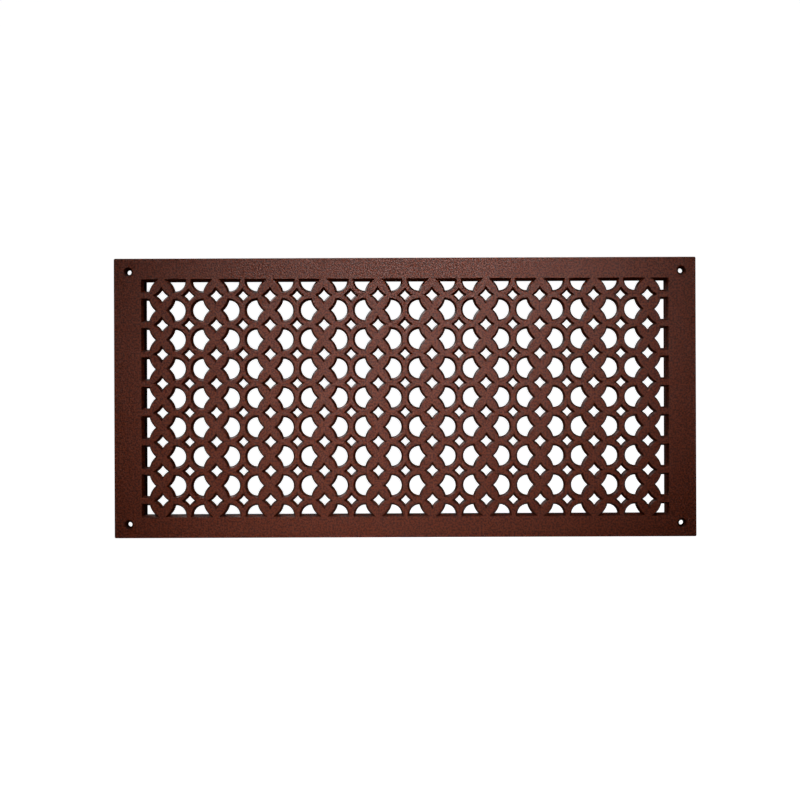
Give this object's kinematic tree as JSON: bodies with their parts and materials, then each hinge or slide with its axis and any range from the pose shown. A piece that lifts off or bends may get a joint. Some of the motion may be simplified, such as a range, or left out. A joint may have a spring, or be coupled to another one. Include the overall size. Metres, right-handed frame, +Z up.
{
  "type": "metal wall grille",
  "caption": "Flat cast metal grille for a wall opening: a pierced field of rings and crossed bands in a plain border with countersunk screw holes and a short collar behind.",
  "frame": {"origin": "centre of the wall opening, in the plane of the wall that the back of the border lies on", "axes": "+X along the grille's length, +Z up, +Y into the wall, so the face looks along -Y"},
  "size_m": [0.6036, 0.013, 0.29],
  "materials": {
    "brown_powder_coat": "satin reddish-brown powder coat with a fine grain, over a casting"
  },
  "bodies": {
    "root": {"grille": "brown_powder_coat"}
  },
  "joints": []
}
